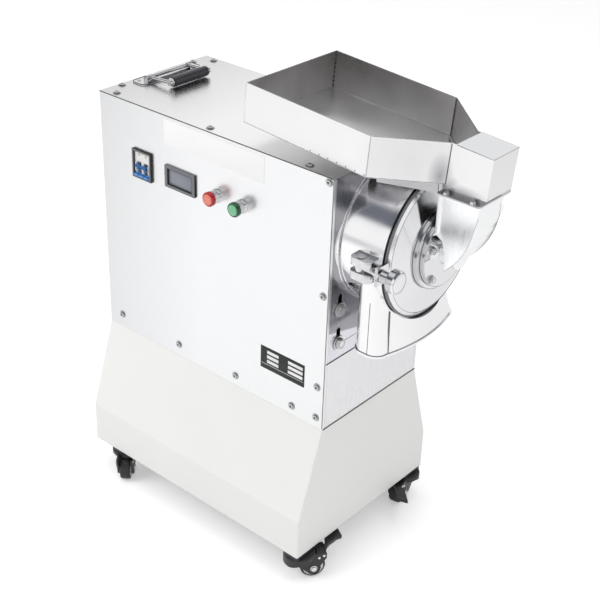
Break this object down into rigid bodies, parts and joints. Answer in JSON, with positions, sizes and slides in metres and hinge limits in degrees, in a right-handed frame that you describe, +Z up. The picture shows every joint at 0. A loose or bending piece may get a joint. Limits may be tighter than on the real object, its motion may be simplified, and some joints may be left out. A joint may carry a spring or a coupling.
{
  "type": "laboratory mill",
  "caption": "Floor-standing continuous-feed laboratory mill with a tilted feed tray, a round grinding drum with a hinged door, a bottom chute and a flared base on casters.",
  "frame": {"origin": "centre of the overall bounding box's underside, on the floor", "axes": "+X out of the drum's door, -Y out of the control panel, +Z up"},
  "size_m": [0.8215, 0.4422, 0.9406],
  "materials": {
    "base_shell": "semi-gloss white powder coat",
    "base_floor": "plain machined steel",
    "caster_plates": "black painted pressed steel",
    "inner_frame": "plain machined steel",
    "front_panel": "satin brushed stainless sheet",
    "back_panel": "satin brushed stainless sheet",
    "rear_panel": "satin brushed stainless sheet",
    "top_panel": "satin brushed stainless sheet",
    "head_plate": "satin brushed stainless sheet",
    "lower_end_panel": "satin brushed stainless sheet",
    "panel_screws": "bright zinc plated steel",
    "head_bolts": "bright zinc plated steel",
    "blank_plates": "plain unprinted plates",
    "breaker_frame": "dark grey moulded plastic",
    "breaker_body": "white moulded plastic",
    "breaker_toggle": "blue moulded plastic",
    "panel_meter": "dark grey moulded plastic",
    "button_bodies": "plated barrels with coloured rings",
    "stop_button": "translucent red lens",
    "start_button": "translucent green lens",
    "cable_gland": "black nylon gland",
    "handle_plate": "plated steel",
    "handle_arms": "plated steel",
    "handle_grip": "black rubber, matte",
    "drum_shell": "machined and polished stainless",
    "grinding_liner": "grey cast iron, painted",
    "discharge_screen": "satin brushed stainless sheet",
    "discharge_chute": "satin brushed stainless sheet",
    "clamp_lug": "machined and polished stainless",
    "clamp_bolt": "machined and polished stainless",
    "clamp_knob": "machined and polished stainless",
    "hinge_bracket": "machined and polished stainless",
    "pivot_pins": "machined and polished stainless",
    "door_disc": "machined and polished stainless",
    "door_gasket": "black rubber, matte",
    "feed_hub": "machined and polished stainless",
    "feed_elbow": "satin brushed stainless sheet",
    "door_bolts": "bright zinc plated steel",
    "hopper_tray": "satin brushed stainless sheet",
    "hopper_cover": "satin brushed stainless sheet",
    "main_shaft": "plain machined steel",
    "rotor_disc": "plain machined steel",
    "hammers": "plain machined steel",
    "driven_pulley": "grey cast iron, painted",
    "bearing_housing": "grey cast iron, painted",
    "shaft_bearings": "plain machined steel",
    "motor_housing": "grey painted die casting",
    "motor_shaft": "plain machined steel",
    "drive_pulley": "grey cast iron, painted",
    "drive_belts": "black rubber, matte",
    "caster_fork_front_right": "black nylon, fine moulded grain",
    "caster_wheel_front_right": "black nylon, fine moulded grain",
    "caster_pedal_front_right": "black nylon, fine moulded grain",
    "caster_fork_front_left": "black nylon, fine moulded grain",
    "caster_wheel_front_left": "black nylon, fine moulded grain",
    "caster_fork_back_right": "black nylon, fine moulded grain",
    "caster_wheel_back_right": "black nylon, fine moulded grain",
    "caster_pedal_back_right": "black nylon, fine moulded grain",
    "caster_fork_back_left": "black nylon, fine moulded grain",
    "caster_wheel_back_left": "black nylon, fine moulded grain"
  },
  "bodies": {
    "cabinet": {"base_shell": "base_shell", "base_floor": "base_floor", "caster_plates": "caster_plates", "inner_frame": "inner_frame", "front_panel": "front_panel", "back_panel": "back_panel", "rear_panel": "rear_panel", "top_panel": "top_panel", "head_plate": "head_plate", "lower_end_panel": "lower_end_panel", "panel_screws": "panel_screws", "head_bolts": "head_bolts", "blank_plates": "blank_plates", "breaker_frame": "breaker_frame", "breaker_body": "breaker_body", "panel_meter": "panel_meter", "button_bodies": "button_bodies", "cable_gland": "cable_gland", "handle_plate": "handle_plate", "drum_shell": "drum_shell", "grinding_liner": "grinding_liner", "discharge_screen": "discharge_screen", "discharge_chute": "discharge_chute", "clamp_lug": "clamp_lug", "hinge_bracket": "hinge_bracket", "pivot_pins": "pivot_pins", "bearing_housing": "bearing_housing", "shaft_bearings": "shaft_bearings", "motor_housing": "motor_housing", "drive_belts": "drive_belts"},
    "rotor": {"main_shaft": "main_shaft", "rotor_disc": "rotor_disc", "hammers": "hammers", "driven_pulley": "driven_pulley"},
    "motor_rotor": {"motor_shaft": "motor_shaft", "drive_pulley": "drive_pulley"},
    "door": {"door_disc": "door_disc", "door_gasket": "door_gasket", "feed_hub": "feed_hub", "door_bolts": "door_bolts", "feed_elbow": "feed_elbow", "hopper_tray": "hopper_tray", "hopper_cover": "hopper_cover"},
    "clamp": {"clamp_bolt": "clamp_bolt"},
    "knob": {"clamp_knob": "clamp_knob"},
    "handle": {"handle_arms": "handle_arms", "handle_grip": "handle_grip"},
    "stop": {"stop_button": "stop_button"},
    "start": {"start_button": "start_button"},
    "breaker_lever": {"breaker_toggle": "breaker_toggle"},
    "fork_front_right": {"caster_fork_front_right": "caster_fork_front_right"},
    "wheel_front_right": {"caster_wheel_front_right": "caster_wheel_front_right"},
    "pedal_front_right": {"caster_pedal_front_right": "caster_pedal_front_right"},
    "fork_front_left": {"caster_fork_front_left": "caster_fork_front_left"},
    "wheel_front_left": {"caster_wheel_front_left": "caster_wheel_front_left"},
    "fork_back_right": {"caster_fork_back_right": "caster_fork_back_right"},
    "wheel_back_right": {"caster_wheel_back_right": "caster_wheel_back_right"},
    "pedal_back_right": {"caster_pedal_back_right": "caster_pedal_back_right"},
    "fork_back_left": {"caster_fork_back_left": "caster_fork_back_left"},
    "wheel_back_left": {"caster_wheel_back_left": "caster_wheel_back_left"}
  },
  "joints": [
    {"name": "door_swing", "type": "hinge", "parent": "cabinet", "child": "door", "pos_m": [0.2812, 0.1475, 0.7065], "axis": [0, 0, 1], "range_deg": [0, 110]},
    {"name": "clamp_swing", "type": "hinge", "parent": "cabinet", "child": "clamp", "pos_m": [0.2492, -0.146, 0.7035], "axis": [0, 0, -1], "range_deg": [0, 110]},
    {"name": "knob_spin", "type": "hinge", "parent": "clamp", "child": "knob", "pos_m": [0.3032, -0.146, 0.7035], "axis": [1, 0, 0], "continuous": true},
    {"name": "rotor_spin", "type": "hinge", "parent": "cabinet", "child": "rotor", "pos_m": [0.1832, 0, 0.7065], "axis": [1, 0, 0], "continuous": true},
    {"name": "motor_spin", "type": "hinge", "parent": "cabinet", "child": "motor_rotor", "pos_m": [-0.0168, 0, 0.173], "axis": [1, 0, 0], "continuous": true},
    {"name": "handle_fold", "type": "hinge", "parent": "cabinet", "child": "handle", "pos_m": [-0.3578, 0.008, 0.847], "axis": [0, -1, 0], "range_deg": [0, 90]},
    {"name": "stop_press", "type": "slide", "parent": "cabinet", "child": "stop", "axis": [0, 1, 0], "range_m": [0, 0.003], "stiffness_N_per_m": 500},
    {"name": "start_press", "type": "slide", "parent": "cabinet", "child": "start", "axis": [0, 1, 0], "range_m": [0, 0.003], "stiffness_N_per_m": 500},
    {"name": "breaker_flip", "type": "hinge", "parent": "cabinet", "child": "breaker_lever", "pos_m": [-0.2735, -0.1395, 0.713], "axis": [1, 0, 0], "range_deg": [0, 70]},
    {"name": "swivel_front_right", "type": "hinge", "parent": "cabinet", "child": "fork_front_right", "pos_m": [0.1642, -0.171, 0.056], "axis": [0, 0, 1], "continuous": true},
    {"name": "roll_front_right", "type": "hinge", "parent": "fork_front_right", "child": "wheel_front_right", "pos_m": [0.17948, -0.14997, 0.025], "axis": [-0.809, 0.5878, 0], "continuous": true},
    {"name": "brake_front_right", "type": "hinge", "parent": "fork_front_right", "child": "pedal_front_right", "pos_m": [0.18654, -0.14026, 0.056], "axis": [-0.809, 0.5878, 0], "range_deg": [0, 10]},
    {"name": "swivel_front_left", "type": "hinge", "parent": "cabinet", "child": "fork_front_left", "pos_m": [-0.3228, -0.171, 0.056], "axis": [0, 0, 1], "continuous": true},
    {"name": "roll_front_left", "type": "hinge", "parent": "fork_front_left", "child": "wheel_front_left", "pos_m": [-0.30609, -0.19092, 0.025], "axis": [0.766, 0.6428, 0], "continuous": true},
    {"name": "swivel_back_right", "type": "hinge", "parent": "cabinet", "child": "fork_back_right", "pos_m": [0.1642, 0.171, 0.056], "axis": [0, 0, 1], "continuous": true},
    {"name": "roll_back_right", "type": "hinge", "parent": "fork_back_right", "child": "wheel_back_right", "pos_m": [0.16871, 0.14539, 0.025], "axis": [0.9848, 0.1736, 0], "continuous": true},
    {"name": "brake_back_right", "type": "hinge", "parent": "fork_back_right", "child": "pedal_back_right", "pos_m": [0.1708, 0.13358, 0.056], "axis": [0.9848, 0.1736, 0], "range_deg": [0, 10]},
    {"name": "swivel_back_left", "type": "hinge", "parent": "cabinet", "child": "fork_back_left", "pos_m": [-0.3228, 0.171, 0.056], "axis": [0, 0, 1], "continuous": true},
    {"name": "roll_back_left", "type": "hinge", "parent": "fork_back_left", "child": "wheel_back_left", "pos_m": [-0.30609, 0.19092, 0.025], "axis": [-0.766, 0.6428, 0], "continuous": true}
  ],
  "couplings": [
    {"joint": "motor_spin", "follows": "rotor_spin", "ratio": 0.6667}
  ]
}
